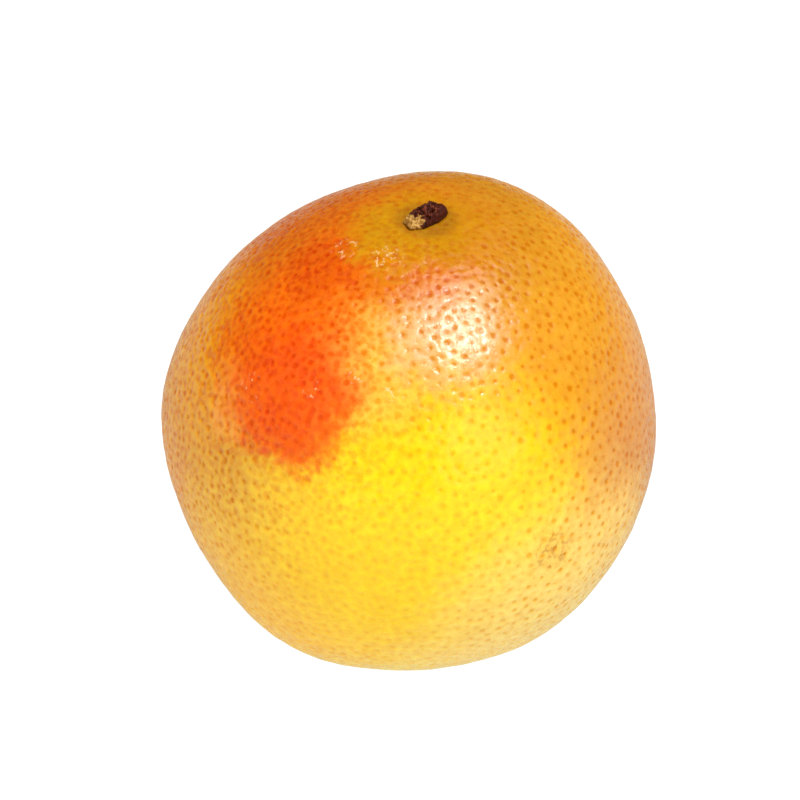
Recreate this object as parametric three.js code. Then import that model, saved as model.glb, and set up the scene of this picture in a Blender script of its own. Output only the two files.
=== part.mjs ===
// A whole grapefruit, as picked: one solid fruit, and the dry woody button of its stem, which sits in a
// shallow hollow on top. The fruit leans a little as it rests, so the stem isn't quite at the highest point.
// Millimetres, +Z up, -Y towards the blushed front. The origin is the centre of the small flat spot that
// the fruit rests on.
import * as THREE from "three";

// The fruit's body: a ball with low swells on it.
const BODY_RADIUS = 52.5;
const SWELLS = [
  // bearing turns from +X towards +Y; rise is in millimetres and spread in degrees
  { name: "shoulder behind the stem", bearing: 40, elevation: 57, rise: 3.2, spread: 28 },
  { name: "flatter crown", bearing: 148, elevation: 52, rise: -0.5, spread: 28 },
  { name: "left cheek", bearing: -177, elevation: 8, rise: 1.3, spread: 20 },
  { name: "left haunch", bearing: -131, elevation: -45, rise: 1.8, spread: 22 },
  { name: "right haunch", bearing: -44, elevation: -42, rise: 0.8, spread: 22 },
  { name: "full back", bearing: 90, elevation: -5, rise: 1.3, spread: 35 },
  { name: "full front", bearing: -90, elevation: -12, rise: 0.8, spread: 30 },
];

// The mesh of the body: rows from the top down, closer together towards the top and the bottom.
const SEGMENTS = 72;
const ROWS = 44;
const REST_ROWS = 4; // rows of the mesh that make the flat resting spot
const CROWDING = 0.35; // how much closer the rows are at the top and the bottom than halfway

// The stem's end: where it points, the hollow around it, and the button.
const STEM = { bearing: -67, elevation: 82 };
const HOLLOW_DEPTH = 1.3;
const HOLLOW_SPREAD = 12; // degrees, seen from the body's middle
const SEAT_GAP = 0.3; // between the button and the floor of the hollow
const SEAT_REACH = 0.08; // radians from the stem, over which the floor's slope is taken
const BUTTON_HALF_LENGTH = 5.2;
const BUTTON_HALF_WIDTH = 3.6;
const BUTTON_TURN = 47; // degrees about the stem, of the button's longer side
const BUTTON_THICKNESS = 1.6;
const STUB_RADIUS = 1.3; // of the snapped end of the stalk, across the button's narrower side
const STUB_HEIGHT = 2.3; // above the button's underside
const BUTTON_LOBES = 5; // the sepals that dried into the button
const LOBE_SHARE = 0.1; // how far a lobe stands out, as a share of the button's radius
const BUTTON_SEGMENTS = 40;

const rindMaterial = new THREE.MeshStandardMaterial({ color: 0xf5b52e, roughness: 0.42, metalness: 0 });
const woodMaterial = new THREE.MeshStandardMaterial({ color: 0x5a2a14, roughness: 0.6, metalness: 0 });

const radians = THREE.MathUtils.degToRad;

function direction({ bearing, elevation }) {
  const level = Math.cos(radians(elevation));
  return new THREE.Vector3(
    level * Math.cos(radians(bearing)),
    level * Math.sin(radians(bearing)),
    Math.sin(radians(elevation)),
  );
}

// 1 in a swell's own direction, falling smoothly to 0 past its spread.
function nearness(toward, centre, spread) {
  const angle = THREE.MathUtils.radToDeg(toward.angleTo(centre));
  return Math.exp(-((angle / spread) ** 2));
}

const stemDirection = direction(STEM);
const swells = SWELLS.map((swell) => ({ ...swell, centre: direction(swell) }));

// The distance from the body's middle to its surface, along a unit vector.
function surfaceRadius(toward) {
  const risen = swells.reduce(
    (sum, swell) => sum + swell.rise * nearness(toward, swell.centre, swell.spread),
    BODY_RADIUS,
  );
  return risen - HOLLOW_DEPTH * nearness(toward, stemDirection, HOLLOW_SPREAD);
}

// The place on the body's surface along a unit vector, measured from the body's middle.
function surfacePoint(toward) {
  return toward.clone().multiplyScalar(surfaceRadius(toward));
}

// The direction square to the floor of the hollow.
function seatNormal() {
  const across = new THREE.Vector3(1, 0, 0).projectOnPlane(stemDirection).normalize();
  const along = stemDirection.clone().cross(across);
  const beside = (side, step) =>
    surfacePoint(stemDirection.clone().addScaledVector(side, step).normalize());
  const rise = beside(across, SEAT_REACH).sub(beside(across, -SEAT_REACH));
  return rise.cross(beside(along, SEAT_REACH).sub(beside(along, -SEAT_REACH))).normalize();
}

// The angle from straight up of one of the body's rows.
function rowAngle(row) {
  const share = row / ROWS;
  return Math.PI * share - (CROWDING / 2) * Math.sin(2 * Math.PI * share);
}

const restAngle = Math.PI - rowAngle(ROWS - REST_ROWS);
const middleHeight = BODY_RADIUS * Math.cos(restAngle);

// The rind, pith and flesh as one solid, its underside cut flat where it rests.
function fruit() {
  const profile = [];
  for (let row = ROWS; row >= 0; row--) {
    const onAxis = row === 0 || row === ROWS;
    profile.push(new THREE.Vector2(onAxis ? 0 : Math.sin(rowAngle(row)), Math.cos(rowAngle(row))));
  }
  const geometry = new THREE.LatheGeometry(profile, SEGMENTS).rotateX(Math.PI / 2);
  const places = geometry.attributes.position;
  const flatEdge = -Math.cos(restAngle) + 1e-6;
  for (let i = 0; i < places.count; i++) {
    const toward = new THREE.Vector3().fromBufferAttribute(places, i).normalize();
    const flat = toward.z <= flatEdge;
    const place = flat ? toward.clone().multiplyScalar(middleHeight / -toward.z) : surfacePoint(toward);
    places.setXYZ(i, place.x, place.y, flat ? 0 : place.z + middleHeight);
  }
  const mesh = new THREE.Mesh(geometry, rindMaterial);
  mesh.name = "fruit";
  return mesh;
}

// A worn star of woody sepals with the snapped stalk standing in its middle, made flat on its own ground.
function stemButton() {
  const stub = STUB_RADIUS / BUTTON_HALF_WIDTH;
  // The section from the axis out and back: a share of the radius, then a height.
  const profile = [
    [0, 0],
    [0.92, 0], // the underside's edge
    [1, 0.3 * BUTTON_THICKNESS], // the rim, rounding over
    [0.97, 0.75 * BUTTON_THICKNESS],
    [0.85, BUTTON_THICKNESS],
    [stub, 0.9 * BUTTON_THICKNESS], // the foot of the stub
    [0.9 * stub, STUB_HEIGHT],
    [0, 0.93 * STUB_HEIGHT], // the stub's slightly sunken pith
  ].map(([out, up]) => new THREE.Vector2(out, up));
  const geometry = new THREE.LatheGeometry(profile, BUTTON_SEGMENTS).rotateX(Math.PI / 2);
  const places = geometry.attributes.position;
  for (let i = 0; i < places.count; i++) {
    const x = places.getX(i);
    const y = places.getY(i);
    const out = Math.hypot(x, y);
    const lobe = 1 + LOBE_SHARE * out * Math.cos(BUTTON_LOBES * Math.atan2(y, x));
    places.setX(i, x * lobe * BUTTON_HALF_LENGTH);
    places.setY(i, y * lobe * BUTTON_HALF_WIDTH);
  }
  const mesh = new THREE.Mesh(geometry, woodMaterial);
  mesh.name = "stem_button";
  mesh.rotation.z = radians(BUTTON_TURN);
  return mesh;
}

// A frame of reference whose +Z runs out of the hollow, with its origin just over the hollow's floor.
function stemSeat() {
  const up = new THREE.Vector3(0, 0, 1);
  const seat = new THREE.Group();
  seat.position
    .copy(surfacePoint(stemDirection))
    .addScaledVector(seatNormal(), SEAT_GAP)
    .addScaledVector(up, middleHeight);
  seat.quaternion.setFromUnitVectors(up, seatNormal());
  seat.add(stemButton());
  return seat;
}

const grapefruit = new THREE.Group();
grapefruit.add(fruit(), stemSeat());

export default grapefruit;
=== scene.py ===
"""A whole grapefruit: its pitted, blushed rind and the dry button of its stem, on a pale studio floor.

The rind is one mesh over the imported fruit, with a modelled pit for every oil gland. The button is a worn
star of woody sepals. Everything is in metres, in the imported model's own frame.
"""

import math
from collections import namedtuple

import bmesh
import bpy
import numpy as np
from bpy.props import FloatProperty, FloatVectorProperty, IntProperty, PointerProperty
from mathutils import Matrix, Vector, kdtree, noise
from mathutils.bvhtree import BVHTree
from mathutils.geometry import delaunay_2d_cdt


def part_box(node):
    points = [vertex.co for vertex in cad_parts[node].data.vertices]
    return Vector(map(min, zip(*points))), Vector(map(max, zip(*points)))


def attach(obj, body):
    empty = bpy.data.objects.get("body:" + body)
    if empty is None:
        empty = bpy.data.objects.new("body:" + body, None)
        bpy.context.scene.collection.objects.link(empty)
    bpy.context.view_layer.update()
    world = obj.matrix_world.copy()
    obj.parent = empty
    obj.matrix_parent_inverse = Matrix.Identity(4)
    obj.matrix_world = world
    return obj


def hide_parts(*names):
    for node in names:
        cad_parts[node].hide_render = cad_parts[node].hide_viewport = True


bl_info = {
    "name": "Grapefruit",
    "version": (1, 0, 0),
    "blender": (4, 5, 0),
    "location": "3D View > Sidebar > Grapefruit",
    "description": "Makes a whole grapefruit with a pitted rind and a dry stem button",
    "category": "Add Mesh",
}

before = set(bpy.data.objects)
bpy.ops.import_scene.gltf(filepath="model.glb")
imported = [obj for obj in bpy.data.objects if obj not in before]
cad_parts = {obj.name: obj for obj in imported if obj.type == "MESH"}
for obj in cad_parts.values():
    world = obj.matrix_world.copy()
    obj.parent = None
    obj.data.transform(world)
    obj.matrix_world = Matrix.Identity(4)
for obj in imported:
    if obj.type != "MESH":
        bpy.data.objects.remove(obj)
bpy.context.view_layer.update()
MM = 0.001
SEED = 7


# ---------------------------------------------------------------- places on the fruit


def toward(bearing, elevation):
    """The unit vector of a bearing, turning from +X towards +Y, and an elevation, in degrees."""
    level = math.cos(math.radians(elevation))
    turn = math.radians(bearing)
    return Vector((level * math.cos(turn), level * math.sin(turn), math.sin(math.radians(elevation))))


def node_corners(name):
    """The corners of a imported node's mesh, one row each."""
    return np.array([corner.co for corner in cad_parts[name].data.vertices])


FRUIT_LOW, FRUIT_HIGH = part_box("fruit")
MIDDLE = (FRUIT_LOW + FRUIT_HIGH) / 2  # of the fruit's box; directions on the fruit are seen from here
MEAN_RADIUS = sum(FRUIT_HIGH - FRUIT_LOW) / 6


class ButtonSeat:
    """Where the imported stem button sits: the middle of its underside, and its own axes."""

    def __init__(self):
        corners = node_corners("stem_button")
        middle = corners.mean(axis=0)
        flattest = np.linalg.svd(corners - middle)[2][2]
        self.up = Vector(flattest if flattest[2] > 0 else -flattest)
        self.right = (Vector((1, 0, 0)) - self.up * self.up.x).normalized()
        self.back = self.up.cross(self.right)
        heights = (corners - middle) @ np.array(self.up)
        self.origin = Vector(middle) + self.up * float(heights.min())

    def place(self, x, y, z):
        return self.origin + self.right * x + self.back * y + self.up * z


SEAT = ButtonSeat()
STEM_TOWARD = (SEAT.origin - MIDDLE).normalized()
BLOSSOM_TOWARD = -STEM_TOWARD


# ---------------------------------------------------------------- the coloured regions of the rind

# A patch lies around a direction on the fruit. It is full within `core` degrees and gone past `edge`.
Patch = namedtuple("Patch", "name bearing elevation core edge colour strength")

PATCHES = (
    Patch("pale underside", -70, -80, 25, 72, (0.98, 0.76, 0.12), 0.85),
    Patch("orange crown", -150, 62, 10, 50, (0.66, 0.13, 0.001), 0.9),
    Patch("tan left side", -178, 15, 10, 48, (0.88, 0.35, 0.002), 0.85),
    Patch("gold lower left", -124, -18, 10, 42, (0.95, 0.53, 0.02), 0.85),
    Patch("bright front", -82, 2, 12, 52, (0.98, 0.63, 0.002), 0.97),
    Patch("ripe right side", -20, 5, 4, 36, (0.62, 0.24, 0.04), 0.7),
    Patch("pale lower right", -46, -26, 2, 44, (0.98, 0.67, 0.14), 0.9),
    Patch("far side's blush", 105, 25, 8, 45, (0.78, 0.2, 0.01), 0.7),
    Patch("gold beside the blush", -100, 46, 3, 18, (0.86, 0.46, 0.05), 0.7),
    # A paler, pinker patch painted where the key light's shine falls: a painted highlight that whitens the
    # shine.
    Patch("painted highlight under the key light", -73, 51, 4, 17, (0.68, 0.38, 0.14), 0.7),
    Patch("rubbed cheek", -138, 31, 3, 12, (0.92, 0.34, 0.04), 0.7),
    Patch("upper blush", -132, 46, 2, 25, (0.82, 0.125, 0.0), 0.8),
    Patch("blush", -121.5, 37, 3, 20, (0.80, 0.07, 0.0), 0.85),
    Patch("lower blush, left", -126, 29.5, 2, 14, (0.82, 0.11, 0.0), 0.75),
    Patch("lower blush, right", -117, 31.5, 2, 15, (0.82, 0.085, 0.0), 0.8),
    Patch("arc, left of the stem", -133, 66, 3, 13, (0.64, 0.075, 0.0), 0.75),
    Patch("arc, before the stem", -74, 68, 2, 12, (0.60, 0.14, 0.001), 0.75),
)

# Where the skin is rubbed and its wax stands up in pale flecks, their pale colour partly a painted glint of
# small creases catching the light: bearing, elevation and size in degrees.
RUBBED_AND_GLINTING = (
    (-134, 30, 4),
    (-104.5, 38.5, 2.2),
    (-116, 34, 2.6),
    (-104, 68, 4.5),
    (-131, 68, 4),
    (-94.5, 35.5, 2.2),
)

# An old scab of fine brown lines: bearing, elevation and size in degrees.
RUSSET = (-57, -5, 7)


# ---------------------------------------------------------------- settings


def colour(name, description, default):
    return FloatVectorProperty(
        name=name, description=description, subtype="COLOR", size=3, min=0, max=1, default=default
    )


def length(name, description, default):
    return FloatProperty(
        name=name, description=description, subtype="DISTANCE", unit="LENGTH", min=0, default=default
    )


def share(name, description, default):
    return FloatProperty(
        name=name, description=description, subtype="FACTOR", min=0, max=1, default=default
    )


class GrapefruitRind(bpy.types.PropertyGroup):
    """Sizes and colours of the rind."""

    gland_spacing: length("Gland spacing", "Usual distance between two large oil glands", 2.2 * MM)
    gland_width: length("Gland width", "Width of a large oil gland", 1.65 * MM)
    pit_depth: length("Pit depth", "How far a large gland is sunk into the skin", 0.15 * MM)
    swell: length("Swell", "How far the skin rises and falls over a thumb's width", 0.26 * MM)
    pebble: length("Pebble", "How far the skin rises and falls over a few glands", 0.09 * MM)
    ground: colour("Ground", "The skin's own golden yellow", (0.68, 0.29, 0.014))
    # The halo and the ring are darker than the ground: partly the rind's own olive and orange near the stem,
    # partly painted shade of the top.
    halo: colour("Halo", "The olive yellow around the stem", (0.52, 0.225, 0.0))
    ring: colour("Ring", "The orange between the halo and the blush", (0.53, 0.215, 0.006))
    gland_tint: colour("Gland tint", "What a gland's oil multiplies the skin's colour by", (0.84, 0.60, 0.12))
    roughness: share("Roughness", "Roughness of the waxy skin", 0.27)


class GrapefruitButton(bpy.types.PropertyGroup):
    """Sizes and colours of the stem button."""

    thickness: length("Thickness", "Thickness of the dry sepals", 1.5 * MM)
    bark: colour("Bark", "The dark dry sepals", (0.085, 0.010, 0.002))
    worn: colour("Worn", "The worn ridges of the sepals", (0.24, 0.055, 0.028))
    cork: colour("Cork", "The pale corky corner", (0.62, 0.36, 0.10))
    spokes: IntProperty(name="Spokes", description="Steps of the mesh around the button", default=144, min=12)


class GrapefruitStage(bpy.types.PropertyGroup):
    """The floor, the lights and the camera."""

    floor: colour("Floor", "The pale floor", (0.10, 0.10, 0.10))
    floor_glow: FloatProperty(name="Floor glow", description="Light from under the floor", default=1.0, min=0)
    sky: FloatProperty(name="Sky", description="Strength of the light from all around", default=0.14, min=0)
    lens: length("Lens", "Focal length of the camera", 100 * MM)
    distance: length("Distance", "From the camera to the fruit's middle", 480 * MM)
    elevation: FloatProperty(
        name="Elevation",
        description="How far the camera looks down",
        subtype="ANGLE",
        unit="ROTATION",
        default=math.radians(30),
    )


# ---------------------------------------------------------------- material nodes


def add_node(tree, kind, inputs=None, **settings):
    """A new shader node. An input given a socket is linked, and one given a value holds that value."""
    node = tree.nodes.new(kind)
    for key, value in settings.items():
        setattr(node, key, value)
    for key, value in (inputs or {}).items():
        if isinstance(value, bpy.types.NodeSocket):
            tree.links.new(value, node.inputs[key])
        else:
            node.inputs[key].default_value = value
    return node


def maths(tree, operation, *values):
    return add_node(tree, "ShaderNodeMath", dict(enumerate(values)), operation=operation).outputs[0]


def vector_maths(tree, operation, *values):
    node = add_node(tree, "ShaderNodeVectorMath", dict(enumerate(values)), operation=operation)
    return node.outputs["Value" if operation in ("DOT_PRODUCT", "DISTANCE", "LENGTH") else "Vector"]


def scaled(tree, vector, factor):
    node = add_node(tree, "ShaderNodeVectorMath", {0: vector, "Scale": factor}, operation="SCALE")
    return node.outputs["Vector"]


def mix(tree, factor, one, other, blend="MIX"):
    """one where factor is 0 and other where it is 1, as colours."""
    node = add_node(
        tree, "ShaderNodeMix", {0: factor, 6: one, 7: other}, data_type="RGBA", blend_type=blend
    )
    return node.outputs[2]


def smooth_range(tree, value, low, high, to_low=0.0, to_high=1.0):
    """to_low at low and to_high at high, with a soft start and end."""
    inputs = {0: value, 1: low, 2: high, 3: to_low, 4: to_high}
    return add_node(tree, "ShaderNodeMapRange", inputs, interpolation_type="SMOOTHSTEP").outputs[0]


def grain(tree, place, size, detail=2.0, roughness=0.5, output="Fac"):
    """Even noise whose lumps are `size` metres across."""
    inputs = {"Vector": place, "Scale": 1 / size, "Detail": detail, "Roughness": roughness}
    return add_node(tree, "ShaderNodeTexNoise", inputs, noise_dimensions="3D").outputs[output]


def opaque(rgb):
    return (*rgb, 1.0)


def tinted(tree, factor, skin, tint):
    """The skin where factor is 0, and the skin multiplied by the tint where it is 1."""
    return mix(tree, factor, skin, mix(tree, 1.0, skin, opaque(tint), "MULTIPLY"))


def new_material(name):
    """A material with an empty Principled shader, and its tree."""
    material = bpy.data.materials.new(name)
    material.use_nodes = True
    tree = material.node_tree
    return material, tree, tree.nodes["Principled BSDF"]


def nearness(tree, direction, centre, core, edge):
    """1 within `core` degrees of a direction on the fruit, falling to 0 at `edge`."""
    alike = vector_maths(tree, "DOT_PRODUCT", direction, tuple(centre))
    return smooth_range(tree, alike, math.cos(math.radians(edge)), math.cos(math.radians(core)))


# ---------------------------------------------------------------- the rind's material


# The noises that make the regions' borders wander: the size of the lumps, the noise's detail and roughness,
# the level taken off it and how far it then leans a direction.
Wander = namedtuple("Wander", "lump detail roughness level lean")
BROAD_WANDER = Wander(11 * MM, 4, 0.6, 0.32, 0.24)
RAGGED_WANDER = Wander(2.0 * MM, 3, 0.5, 0.5, 0.16)


def lean(tree, place, wander):
    lumps = grain(tree, place, wander.lump, wander.detail, wander.roughness, output="Color")
    return scaled(tree, vector_maths(tree, "SUBTRACT", lumps, (wander.level,) * 3), wander.lean)


def rind_colour(tree, place, direction, settings):
    """The skin's ground colour, region by region, with borders that wander as a real blush does, and a
    painted highlight among the regions.
    """
    wander = vector_maths(
        tree, "ADD", lean(tree, place, BROAD_WANDER), lean(tree, place, RAGGED_WANDER)
    )
    wandering = vector_maths(tree, "NORMALIZE", vector_maths(tree, "ADD", direction, wander))
    # The ring and the halo darken the top around the stem: partly the rind's own orange and olive there,
    # partly painted shade of the top.
    ring = nearness(tree, wandering, STEM_TOWARD, 18, 40)
    skin = mix(tree, maths(tree, "MULTIPLY", ring, 0.8), opaque(settings.ground), opaque(settings.ring))
    for patch in PATCHES:
        near = nearness(tree, wandering, toward(patch.bearing, patch.elevation), patch.core, patch.edge)
        skin = mix(tree, maths(tree, "MULTIPLY", near, patch.strength), skin, opaque(patch.colour))
    halo = nearness(tree, wandering, STEM_TOWARD, 5, 19)
    return mix(tree, maths(tree, "MULTIPLY", halo, 0.95), skin, opaque(settings.halo))


def rind_marks(tree, place, direction, skin):
    """The russet scab, a painted shadow around the foot of the button and the scar where the blossom was."""
    centre = toward(*RUSSET[:2])
    near = nearness(tree, direction, centre, 0, RUSSET[2])
    cracks = add_node(
        tree, "ShaderNodeTexVoronoi", {"Vector": place, "Scale": 1 / (1.9 * MM)}, feature="DISTANCE_TO_EDGE"
    ).outputs["Distance"]
    lines = smooth_range(tree, cracks, 0.2, 0.02)
    broken = smooth_range(tree, grain(tree, place, 1.6 * MM, 3), 0.44, 0.58)
    scab = maths(tree, "MULTIPLY", maths(tree, "MULTIPLY", lines, broken), near)
    skin = mix(tree, maths(tree, "MULTIPLY", near, 0.25), skin, (0.80, 0.36, 0.02, 1))
    skin = mix(tree, maths(tree, "MULTIPLY", scab, 0.7), skin, (0.50, 0.19, 0.008, 1))
    # A painted shadow: the rind darkened brown in a ring around the foot of the button.
    painted_button_shadow = nearness(tree, direction, STEM_TOWARD, 4.5, 8.5)
    skin = mix(tree, maths(tree, "MULTIPLY", painted_button_shadow, 0.6), skin, (0.28, 0.11, 0.004, 1))
    blossom = nearness(tree, direction, BLOSSOM_TOWARD, 2.2, 4.0)
    return mix(tree, maths(tree, "MULTIPLY", blossom, 0.85), skin, (0.25, 0.12, 0.03, 1))


def rubbed_and_glinting_flecks(tree, place, direction):
    """A mask of the short pale flecks where the wax is rubbed up, also painted pale as the glint of small
    creases catching the light.
    """
    near = None
    for bearing, elevation, size in RUBBED_AND_GLINTING:
        spot = nearness(tree, direction, toward(bearing, elevation), size * 0.3, size)
        near = spot if near is None else maths(tree, "MAXIMUM", near, spot)
    strokes = smooth_range(tree, grain(tree, place, 0.9 * MM, 2), 0.56, 0.66)
    return maths(tree, "MULTIPLY", strokes, near)


def fine_dots(tree, place, direction):
    """A mask of the soft dots of oil just under the skin, strongest on the shaded left."""
    nudge = scaled(tree, grain(tree, place, 1.3 * MM, 2, output="Color"), 1.1 * MM)
    spots = add_node(
        tree,
        "ShaderNodeTexVoronoi",
        {"Vector": vector_maths(tree, "ADD", place, nudge), "Scale": 1 / (1.6 * MM), "Randomness": 0.8},
        feature="F1",
    ).outputs["Distance"]
    soft = smooth_range(tree, spots, 0.66, 0.22)
    patchy = smooth_range(tree, grain(tree, place, 7 * MM, 2), 0.3, 0.7, 0.5, 1.0)
    left = nearness(tree, direction, toward(-165, 48), 20, 82)
    strength = maths(tree, "ADD", 0.2, maths(tree, "MULTIPLY", left, 0.7))
    return maths(tree, "MULTIPLY", maths(tree, "MULTIPLY", soft, patchy), strength)


# What the skin's colour is multiplied by on the ridges between glands, in the fine dots, and where it is dry.
RIDGE_TINT = (1.04, 1.12, 1.3)
DOT_TINT = (0.90, 0.62, 0.2)
DRY_TINT = (1.06, 1.25, 2.2)


def rind_material(settings):
    material, tree, shader = new_material("waxy_rind")
    place = add_node(tree, "ShaderNodeTexCoord").outputs["Object"]
    direction = vector_maths(tree, "NORMALIZE", vector_maths(tree, "SUBTRACT", place, tuple(MIDDLE)))

    skin = rind_colour(tree, place, direction, settings)
    mottle = grain(tree, place, 3.5 * MM, 3)
    skin = mix(tree, 1.0, skin, mix(tree, mottle, (0.93, 0.86, 0.8, 1), (1.06, 1.12, 1.15, 1)), "MULTIPLY")
    skin = rind_marks(tree, place, direction, skin)

    # The "gland" attribute is 1 in the middle of a gland, 0 at its rim and below 0 on the ridges between.
    gland = add_node(tree, "ShaderNodeAttribute", attribute_name="gland").outputs["Fac"]
    oil = smooth_range(tree, gland, -0.1, 0.75)
    faint = maths(
        tree,
        "ADD",
        nearness(tree, direction, toward(-92, 8), 12, 42),
        nearness(tree, direction, toward(-110, -52), 20, 62),
    )
    shown = maths(tree, "SUBTRACT", 1.0, maths(tree, "MULTIPLY", faint, 0.55))
    oil = maths(tree, "MULTIPLY", oil, shown)
    skin = tinted(tree, oil, skin, settings.gland_tint)
    skin = tinted(tree, smooth_range(tree, gland, 0.0, -1.0), skin, RIDGE_TINT)
    dots = fine_dots(tree, place, direction)
    skin = tinted(tree, dots, skin, DOT_TINT)
    drier = nearness(tree, direction, toward(-150, 36), 15, 62)
    pale = maths(tree, "MULTIPLY", maths(tree, "SUBTRACT", 1.0, dots), drier)
    skin = tinted(tree, maths(tree, "MULTIPLY", pale, 0.7), skin, DRY_TINT)
    flecks = rubbed_and_glinting_flecks(tree, place, direction)
    # Pale flecks of rubbed wax, their pale colour partly a painted glint of small creases catching the light.
    skin = mix(tree, maths(tree, "MULTIPLY", flecks, 0.55), skin, (0.98, 0.66, 0.36, 1))
    tree.links.new(skin, shader.inputs["Base Color"])

    uneven = grain(tree, place, 2.0 * MM, 3)
    rough = smooth_range(tree, uneven, 0.3, 0.7, settings.roughness - 0.06, settings.roughness + 0.08)
    tree.links.new(rough, shader.inputs["Roughness"])

    coarse_grain = maths(tree, "MULTIPLY", grain(tree, place, 1.4 * MM, 2), 2.0)
    relief = maths(tree, "ADD", grain(tree, place, 0.45 * MM, 2), coarse_grain)
    relief = maths(tree, "ADD", relief, maths(tree, "MULTIPLY", flecks, 2.5))
    relief = maths(tree, "SUBTRACT", relief, maths(tree, "MULTIPLY", dots, 2.0))
    bump = add_node(tree, "ShaderNodeBump", {"Height": relief, "Strength": 0.6, "Distance": 0.05 * MM})
    tree.links.new(bump.outputs["Normal"], shader.inputs["Normal"])

    shader.inputs["IOR"].default_value = 1.45
    tree.links.new(smooth_range(tree, oil, 0.0, 1.0, 0.5, 0.15), shader.inputs["Specular IOR Level"])
    shader.inputs["Subsurface Weight"].default_value = 0.12
    shader.inputs["Subsurface Radius"].default_value = (1.0, 0.45, 0.15)
    shader.inputs["Subsurface Scale"].default_value = 2.0 * MM
    return material


# ---------------------------------------------------------------- the rind's shape


def unit(rows):
    return rows / np.linalg.norm(rows, axis=1)[:, None]


def strewn(rng, tries, spacing, first=()):
    """Random directions, thinned until no two are nearer than the spacing. Those in `first` all stay."""
    spots = unit(rng.normal(size=(tries, 3)))
    if len(first):
        spots = np.vstack([first, spots])
    tree = kdtree.KDTree(len(spots))
    for index, spot in enumerate(spots):
        tree.insert(spot, index)
    tree.balance()
    gone = np.zeros(len(spots), bool)
    kept = []
    for index, spot in enumerate(spots):
        if gone[index] and index >= len(first):
            continue
        if index >= len(first):
            kept.append(index)
        for _, other, _ in tree.find_range(spot, spacing(spot)):
            gone[other] = True
    return spots[kept]


# One ring of a gland's corners: a share of its half-width, how many corners, its depth and its tone.
Ring = namedtuple("Ring", "out corners depth tone")
LARGE_GLAND = (Ring(0, 1, 1.0, 1.0), Ring(0.5, 5, 0.65, 0.75), Ring(1.0, 7, 0.0, 0.0))
SMALL_GLAND = (Ring(0, 1, 1.0, 1.0), Ring(1.0, 5, 0.0, 0.0))
# A small gland's width, depth and tone as shares of a large one's.
SMALL_WIDTH = 0.6
SMALL_DEPTH = 0.5
SMALL_TONE = 0.7
RIDGE_SPACING = 0.85 * MM  # between the corners that fill the skin between the glands


def gland_corners(rng, centres, half_width, rings, depth, tone):
    """The directions, sink and tone of every corner of the glands around these centres."""
    aside = unit(np.cross(centres, unit(rng.normal(size=centres.shape))))
    along = np.cross(centres, aside)
    size = half_width / MEAN_RADIUS * rng.uniform(0.7, 1.15, len(centres))
    sink = depth * rng.uniform(0.5, 1.2, len(centres))
    dark = tone * rng.uniform(0.4, 1.0, len(centres))
    spots, sinks, tones = [], [], []
    for ring in rings:
        for corner in range(ring.corners):
            turn = 2 * math.pi * (corner + 0.5 * (ring.corners % 4)) / ring.corners
            out = size * ring.out * rng.uniform(0.78, 1.18, len(centres))
            spots.append(
                centres + aside * (out * math.cos(turn))[:, None] + along * (out * math.sin(turn))[:, None]
            )
            sinks.append(sink * ring.depth)
            tones.append(dark * ring.tone)
    return unit(np.vstack(spots)), np.concatenate(sinks), np.concatenate(tones)


def rind_corners(settings):
    """Every corner of the rind as a direction, with how far it is sunk and how dark its gland is."""
    rng = np.random.default_rng(SEED)
    wide = settings.gland_spacing / MEAN_RADIUS

    def large_spacing(spot):
        front = max(0.0, Vector(spot).dot(toward(-65, 0)))
        crowded = noise.noise(Vector(spot) * 2.3)
        return wide * (0.9 + 0.3 * front**3 + 0.15 * crowded) * rng.uniform(0.7, 1.15)

    half = settings.gland_width / 2
    large = strewn(rng, 50000, large_spacing)
    small = strewn(rng, 90000, lambda spot: wide * rng.uniform(0.66, 0.84), large)
    every = np.vstack([large, small])
    ridges = strewn(rng, 120000, lambda spot: RIDGE_SPACING / MEAN_RADIUS, every)
    nearest = kdtree.KDTree(len(every))
    for index, spot in enumerate(every):
        nearest.insert(spot, index)
    nearest.balance()
    rim = np.where(np.arange(len(every)) < len(large), 1.2 * half, 0.8 * half) / MEAN_RADIUS
    found = [nearest.find(spot)[1:] for spot in ridges]
    ridges = ridges[[away > rim[index] for index, away in found]]
    groups = (
        gland_corners(rng, large, half, LARGE_GLAND, settings.pit_depth, 1.0),
        gland_corners(
            rng, small, half * SMALL_WIDTH, SMALL_GLAND, settings.pit_depth * SMALL_DEPTH, SMALL_TONE
        ),
        (ridges, np.full(len(ridges), -0.12 * settings.pit_depth), np.full(len(ridges), -0.8)),
    )
    return [np.concatenate(parts) for parts in zip(*groups)]


def packed_radius(directions):
    """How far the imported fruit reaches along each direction, evened out so that its facets don't show."""
    mesh = bmesh.new()
    mesh.from_mesh(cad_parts["fruit"].data)
    tree = BVHTree.FromBMesh(mesh)
    mesh.free()
    around = 6
    reach = math.radians(2.4)
    total = np.zeros(len(directions))
    aside = unit(np.cross(directions, np.array([0.3, 0.5, 0.81])))
    along = np.cross(directions, aside)
    for step in range(around + 1):
        lean = reach if step else 0.0
        turn = 2 * math.pi * step / around
        looks = unit(directions + lean * (math.cos(turn) * aside + math.sin(turn) * along))
        total += [tree.ray_cast(MIDDLE, Vector(look))[3] for look in looks]
    return total / (around + 1)


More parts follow.
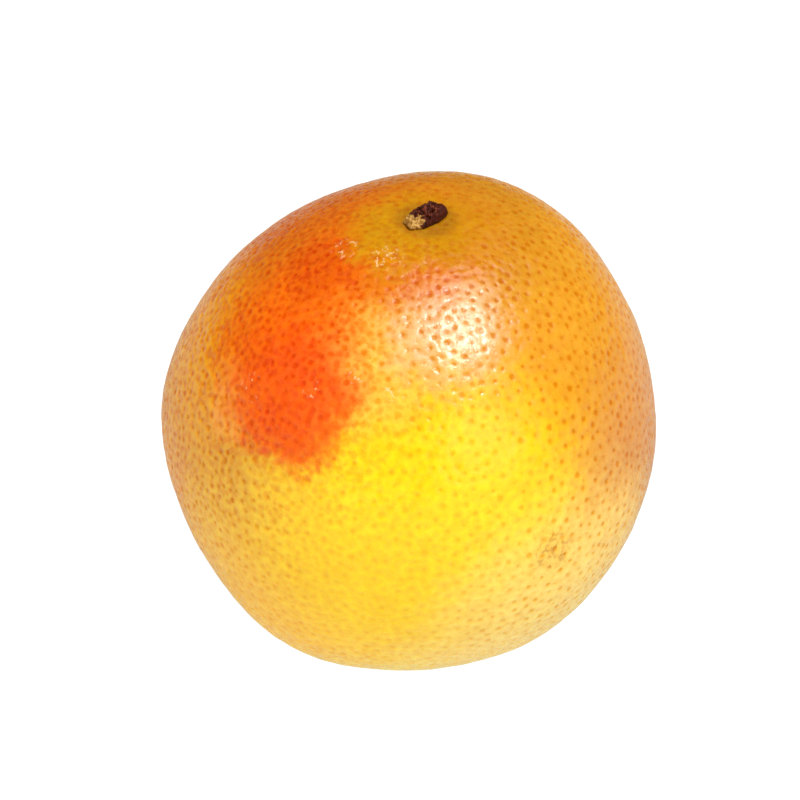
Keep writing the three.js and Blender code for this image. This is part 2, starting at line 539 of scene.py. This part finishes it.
def rind_places(directions, sinks, settings):
    """The corners' places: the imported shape, with the skin's soft unevenness and the glands' pits."""
    from_stem = np.degrees([STEM_TOWARD.angle(Vector(spot)) for spot in directions])
    pitted = np.clip((from_stem - 6) / 18, 0.15, 1.0)  # the skin is smoother around the stem
    broad = [noise.noise(Vector(spot) * MEAN_RADIUS / (14 * MM)) for spot in directions]
    fine = [noise.noise(Vector(spot) * MEAN_RADIUS / (2.6 * MM) + Vector((9, 9, 9))) for spot in directions]
    radius = packed_radius(directions) - sinks * pitted
    radius += settings.swell * np.array(broad) + settings.pebble * np.array(fine)
    places = np.array(MIDDLE) + directions * radius[:, None]
    places[:, 2] = np.maximum(places[:, 2], 0.0)
    return places, pitted


def rind_faces(directions):
    """Triangles between neighbouring corners, found on the ball's flat map as seen from underneath."""
    flat = directions[:, :2] / (1 + directions[:, 2:3])
    return delaunay_2d_cdt([Vector(spot) for spot in flat], [], [], 0, 1e-9)[2]


def outer_loop(faces):
    """The corners around the map's rim, in order, which close the last small gap underneath."""
    sides = [side for face in faces for side in zip(face, face[1:] + face[:1])]
    known = set(sides)
    onward = {other: one for one, other in sides if (other, one) not in known}
    loop = [next(iter(onward))]
    while onward[loop[-1]] != loop[0]:
        loop.append(onward[loop[-1]])
    return loop


def make_rind(settings):
    directions, sinks, tones = rind_corners(settings)
    faces = rind_faces(directions)
    faces.append(outer_loop(faces))
    places, pitted = rind_places(directions, sinks, settings)
    mesh = bpy.data.meshes.new("rind")
    mesh.from_pydata(places.tolist(), [], faces)
    mesh.shade_smooth()
    gland = mesh.attributes.new("gland", "FLOAT", "POINT")
    gland.data.foreach_set("value", (tones * (0.35 + 0.65 * pitted)).astype(np.float32))
    mesh.materials.append(rind_material(settings))
    rind = bpy.data.objects.new("rind", mesh)
    bpy.context.collection.objects.link(rind)
    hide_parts("fruit")
    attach(rind, "root")
    return rind


# ---------------------------------------------------------------- the stem button

# The worn outline of the sepals, seen from above the stem: right and back from the middle, in millimetres.
BUTTON_OUTLINE = (
    (1.1, 5.2),
    (4.0, 3.9),
    (4.5, 1.6),
    (2.7, -1.0),
    (-0.3, -3.3),
    (-3.2, -3.9),
    (-4.5, -1.4),
    (-2.8, 1.6),
)
STUB_PLACE = (0.8, 0.5)  # the snapped stalk's middle, in millimetres
BUTTON_ROOT = 0.45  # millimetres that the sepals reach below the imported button, down onto the skin
CORK_PLACE = (-2.9, -2.5)  # the pale corky corner, in millimetres


def outline_reach(turn):
    """How far the button's outline is from its middle at an angle, with its corners rounded."""
    reach = []
    for lean in (-0.05, -0.025, 0.0, 0.025, 0.05):
        aim = Vector((math.cos(turn + lean), math.sin(turn + lean)))
        hits = []
        for one, other in zip(BUTTON_OUTLINE, BUTTON_OUTLINE[1:] + BUTTON_OUTLINE[:1]):
            side = Vector(other) - Vector(one)
            across = aim.cross(side)
            if abs(across) < 1e-9:
                continue
            out = Vector(one).cross(side) / across
            along = Vector(one).cross(aim) / across
            if out > 0 and -1e-6 <= along <= 1 + 1e-6:
                hits.append(out)
        reach.append(min(hits))
    return sum(reach) / len(reach)


def sepal_height(x, y, out, thickness):
    """The height of the button's top in millimetres at a place, `out` of the way from its middle."""
    stub = math.hypot(x - STUB_PLACE[0], y - STUB_PLACE[1])
    turn = math.atan2(y - STUB_PLACE[1], x - STUB_PLACE[0])
    rim = 1 - max(0.0, (out - 0.78) / 0.22) ** 2.2
    crease = abs(math.sin(2.5 * turn + 0.6)) ** 0.35
    height = thickness * (0.78 + 0.16 * crease) * (0.35 + 0.65 * rim)
    height += 0.75 * math.exp(-(((stub - 1.15) / 0.42) ** 2))
    height -= 0.55 * math.exp(-((stub / 0.55) ** 2))
    wrinkle = noise.noise(Vector((x * 1.1, y * 1.1, 0))) + 0.55 * noise.noise(Vector((x * 2.9, y * 2.9, 5)))
    return max(0.06, height + 0.75 * wrinkle * (0.4 + 0.6 * rim))


def button_mesh(settings):
    """A disc of rings from the stub out to the rim, then down the side and back under."""
    spokes = settings.spokes
    rings = 44
    thick = settings.thickness / MM
    reach = [outline_reach(2 * math.pi * spoke / spokes) for spoke in range(spokes)]
    places = []
    for ring in range(1, rings + 1):
        out = (ring / rings) ** 0.85
        for spoke in range(spokes):
            turn = 2 * math.pi * spoke / spokes
            x = out * reach[spoke] * math.cos(turn)
            y = out * reach[spoke] * math.sin(turn)
            places.append((x, y, sepal_height(x, y, out, thick)))
    for drop, inset in ((0.55, 1.02), (0.2, 0.99), (-BUTTON_ROOT, 0.93)):
        for spoke in range(spokes):
            turn = 2 * math.pi * spoke / spokes
            rim_height = places[(rings - 1) * spokes + spoke][2]
            x = inset * reach[spoke] * math.cos(turn)
            y = inset * reach[spoke] * math.sin(turn)
            places.append((x, y, drop * rim_height if drop > 0 else drop))
    faces = []
    for ring in range(rings + 2):
        for spoke in range(spokes):
            after = (spoke + 1) % spokes
            here, out = ring * spokes, (ring + 1) * spokes
            faces.append((here + spoke, out + spoke, out + after, here + after))
    places.append((0, 0, sepal_height(0, 0, 0, thick)))
    top, under = len(places) - 1, (rings + 2) * spokes
    faces += [(top, spoke, (spoke + 1) % spokes) for spoke in range(spokes)]
    faces.append(tuple(under + spoke for spoke in reversed(range(spokes))))
    mesh = bpy.data.meshes.new("stem_button_skin")
    mesh.from_pydata([SEAT.place(x * MM, y * MM, z * MM) for x, y, z in places], [], faces)
    mesh.shade_smooth()
    height = mesh.attributes.new("height", "FLOAT", "POINT")
    height.data.foreach_set("value", [z / (thick + 0.6) for _, _, z in places])
    return mesh


def button_material(settings):
    material, tree, shader = new_material("dry_sepals")
    place = add_node(tree, "ShaderNodeTexCoord").outputs["Object"]
    height = add_node(tree, "ShaderNodeAttribute", attribute_name="height").outputs["Fac"]
    fibre = grain(tree, place, 0.5 * MM, 4, 0.65)
    raised = smooth_range(tree, height, 0.68, 1.0)
    worn = maths(tree, "MULTIPLY", raised, smooth_range(tree, fibre, 0.47, 0.58))
    shade = mix(
        tree, smooth_range(tree, fibre, 0.35, 0.6), (0.02, 0.003, 0.001, 1), opaque(settings.bark)
    )
    dry = mix(tree, worn, shade, opaque(settings.worn))
    centre = SEAT.place(CORK_PLACE[0] * MM, CORK_PLACE[1] * MM, 0.5 * MM)
    ragged = maths(tree, "MULTIPLY", maths(tree, "SUBTRACT", grain(tree, place, 1.1 * MM, 5), 0.5), 4.4 * MM)
    away = maths(tree, "ADD", vector_maths(tree, "DISTANCE", place, tuple(centre)), ragged)
    cork = smooth_range(tree, away, 2.6 * MM, 2.1 * MM)
    crumb = mix(tree, smooth_range(tree, fibre, 0.4, 0.6), (0.27, 0.11, 0.015, 1), opaque(settings.cork))
    tree.links.new(mix(tree, cork, dry, crumb), shader.inputs["Base Color"])
    tree.links.new(smooth_range(tree, fibre, 0.35, 0.65, 0.32, 0.7), shader.inputs["Roughness"])
    shader.inputs["Specular IOR Level"].default_value = 0.18
    bump = add_node(tree, "ShaderNodeBump", {"Height": fibre, "Strength": 1.0, "Distance": 0.2 * MM})
    tree.links.new(bump.outputs["Normal"], shader.inputs["Normal"])
    return material


def make_button(settings):
    mesh = button_mesh(settings)
    mesh.materials.append(button_material(settings))
    button = bpy.data.objects.new("dry_stem_button", mesh)
    bpy.context.collection.objects.link(button)
    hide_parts("stem_button")
    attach(button, "root")
    return button


# ---------------------------------------------------------------- the stage

FLOOR_SIZE = 6.0
FLOOR_DROP = 0.02 * MM  # keeps the floor's face clear of the resting spot's
# Each soft light: where it shines from, its strength, its width in degrees, its colour, and whether the
# skin's shine shows it.
Light = namedtuple("Light", "name shines_from strength width colour shows_in_shine")
LIGHTS = (
    Light("overhead_softbox", (0.33, 0.0, 0.95), 1.55, 36, (1.0, 1.0, 1.0), True),
    Light("key_light", (0.353, -0.311, 0.883), 2.05, 13, (1.0, 1.0, 1.0), True),
    Light("front_fill", (0.54, -0.77, 0.35), 0.55, 36, (1.0, 1.0, 1.0), True),
    Light("side_fill", (-0.75, -0.55, 0.35), 1.25, 70, (1.0, 0.9, 0.5), False),
)
AIM_ASIDE = Vector((-1.9, 2.2, 3.6)) * MM  # from the fruit's middle to the point that the camera looks at


def make_floor(settings):
    half = FLOOR_SIZE / 2
    mesh = bpy.data.meshes.new("floor")
    corners = [(-half, -half, 0), (half, -half, 0), (half, half, 0), (-half, half, 0)]
    mesh.from_pydata(corners, [], [(0, 1, 2, 3)])
    material, tree, shader = new_material("pale_floor")
    place = add_node(tree, "ShaderNodeTexCoord").outputs["Object"]
    darker = [part * 0.98 for part in settings.floor]
    tone = mix(tree, grain(tree, place, 0.4, 1), opaque(settings.floor), opaque(darker))
    tree.links.new(tone, shader.inputs["Base Color"])
    shader.inputs["Roughness"].default_value = 0.9
    shader.inputs["Specular IOR Level"].default_value = 0.1
    shader.inputs["Emission Color"].default_value = (1, 1, 1, 1)
    shine = add_node(tree, "ShaderNodeLightPath").outputs["Is Glossy Ray"]
    glow = smooth_range(tree, shine, 0, 1, settings.floor_glow, 0.5 * settings.floor_glow)
    tree.links.new(glow, shader.inputs["Emission Strength"])
    mesh.materials.append(material)
    floor = bpy.data.objects.new("floor", mesh)
    floor.location.z = -FLOOR_DROP
    bpy.context.collection.objects.link(floor)


def make_lights(settings):
    for light in LIGHTS:
        lamp = bpy.data.lights.new(light.name, "SUN")
        lamp.energy = light.strength
        lamp.color = light.colour
        lamp.angle = math.radians(light.width)
        holder = bpy.data.objects.new(light.name, lamp)
        holder.visible_glossy = light.shows_in_shine
        holder.location = MIDDLE + Vector(light.shines_from)
        holder.rotation_euler = Vector(light.shines_from).to_track_quat("Z", "Y").to_euler()
        bpy.context.collection.objects.link(holder)
    world = bpy.data.worlds.new("studio")
    world.use_nodes = True
    tree = world.node_tree
    path = add_node(tree, "ShaderNodeLightPath").outputs
    dim = smooth_range(tree, path["Is Glossy Ray"], 0, 1, settings.sky, 0.4 * settings.sky)
    brightness = smooth_range(tree, path["Is Camera Ray"], 0, 1, dim, 1.0)
    tree.links.new(brightness, tree.nodes["Background"].inputs["Strength"])
    tree.nodes["Background"].inputs["Color"].default_value = (1, 1, 1, 1)
    bpy.context.scene.world = world


def make_camera(settings):
    data = bpy.data.cameras.new("camera")
    data.lens = settings.lens / MM
    data.sensor_width = 36
    data.clip_start = 0.01
    camera = bpy.data.objects.new("camera", data)
    back = Vector((0, -math.cos(settings.elevation), math.sin(settings.elevation)))
    camera.location = MIDDLE + back * settings.distance
    look = MIDDLE + AIM_ASIDE - camera.location
    camera.rotation_euler = look.to_track_quat("-Z", "Y").to_euler()
    bpy.context.collection.objects.link(camera)
    bpy.context.scene.camera = camera


def make_stage(settings):
    make_floor(settings)
    make_lights(settings)
    make_camera(settings)
    bpy.context.scene.view_settings.view_transform = "Standard"


# ---------------------------------------------------------------- operators and panel


class GRAPEFRUIT_OT_rind(bpy.types.Operator):
    """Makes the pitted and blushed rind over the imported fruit"""

    bl_idname = "grapefruit.rind"
    bl_label = "Rind"

    def execute(self, context):
        make_rind(context.scene.grapefruit_rind)
        return {"FINISHED"}


class GRAPEFRUIT_OT_button(bpy.types.Operator):
    """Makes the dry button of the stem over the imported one"""

    bl_idname = "grapefruit.button"
    bl_label = "Stem button"

    def execute(self, context):
        make_button(context.scene.grapefruit_button)
        return {"FINISHED"}


class GRAPEFRUIT_OT_stage(bpy.types.Operator):
    """Makes the pale floor, the soft lights and the camera"""

    bl_idname = "grapefruit.stage"
    bl_label = "Stage"

    def execute(self, context):
        make_stage(context.scene.grapefruit_stage)
        return {"FINISHED"}


class GRAPEFRUIT_PT_panel(bpy.types.Panel):
    """Lists the settings and the buttons that make the grapefruit"""

    bl_label = "Grapefruit"
    bl_space_type = "VIEW_3D"
    bl_region_type = "UI"
    bl_category = "Grapefruit"

    def draw(self, context):
        for name, _, operator in PARTS:
            box = self.layout.box()
            settings = getattr(context.scene, name)
            for key in settings.__annotations__:
                box.prop(settings, key)
            box.operator(operator)


# The scene's settings, their class and the operator that reads them.
PARTS = (
    ("grapefruit_rind", GrapefruitRind, "grapefruit.rind"),
    ("grapefruit_button", GrapefruitButton, "grapefruit.button"),
    ("grapefruit_stage", GrapefruitStage, "grapefruit.stage"),
)
OPERATORS = (GRAPEFRUIT_OT_rind, GRAPEFRUIT_OT_button, GRAPEFRUIT_OT_stage)


def register():
    for name, group, _ in PARTS:
        bpy.utils.register_class(group)
        setattr(bpy.types.Scene, name, PointerProperty(type=group))
    for shown in (*OPERATORS, GRAPEFRUIT_PT_panel):
        bpy.utils.register_class(shown)


def unregister():
    for shown in reversed((*OPERATORS, GRAPEFRUIT_PT_panel)):
        bpy.utils.unregister_class(shown)
    for name, group, _ in reversed(PARTS):
        delattr(bpy.types.Scene, name)
        bpy.utils.unregister_class(group)


def main():
    register()
    bpy.ops.grapefruit.rind()
    bpy.ops.grapefruit.button()
    bpy.ops.grapefruit.stage()


if __name__ == "__main__":
    main()
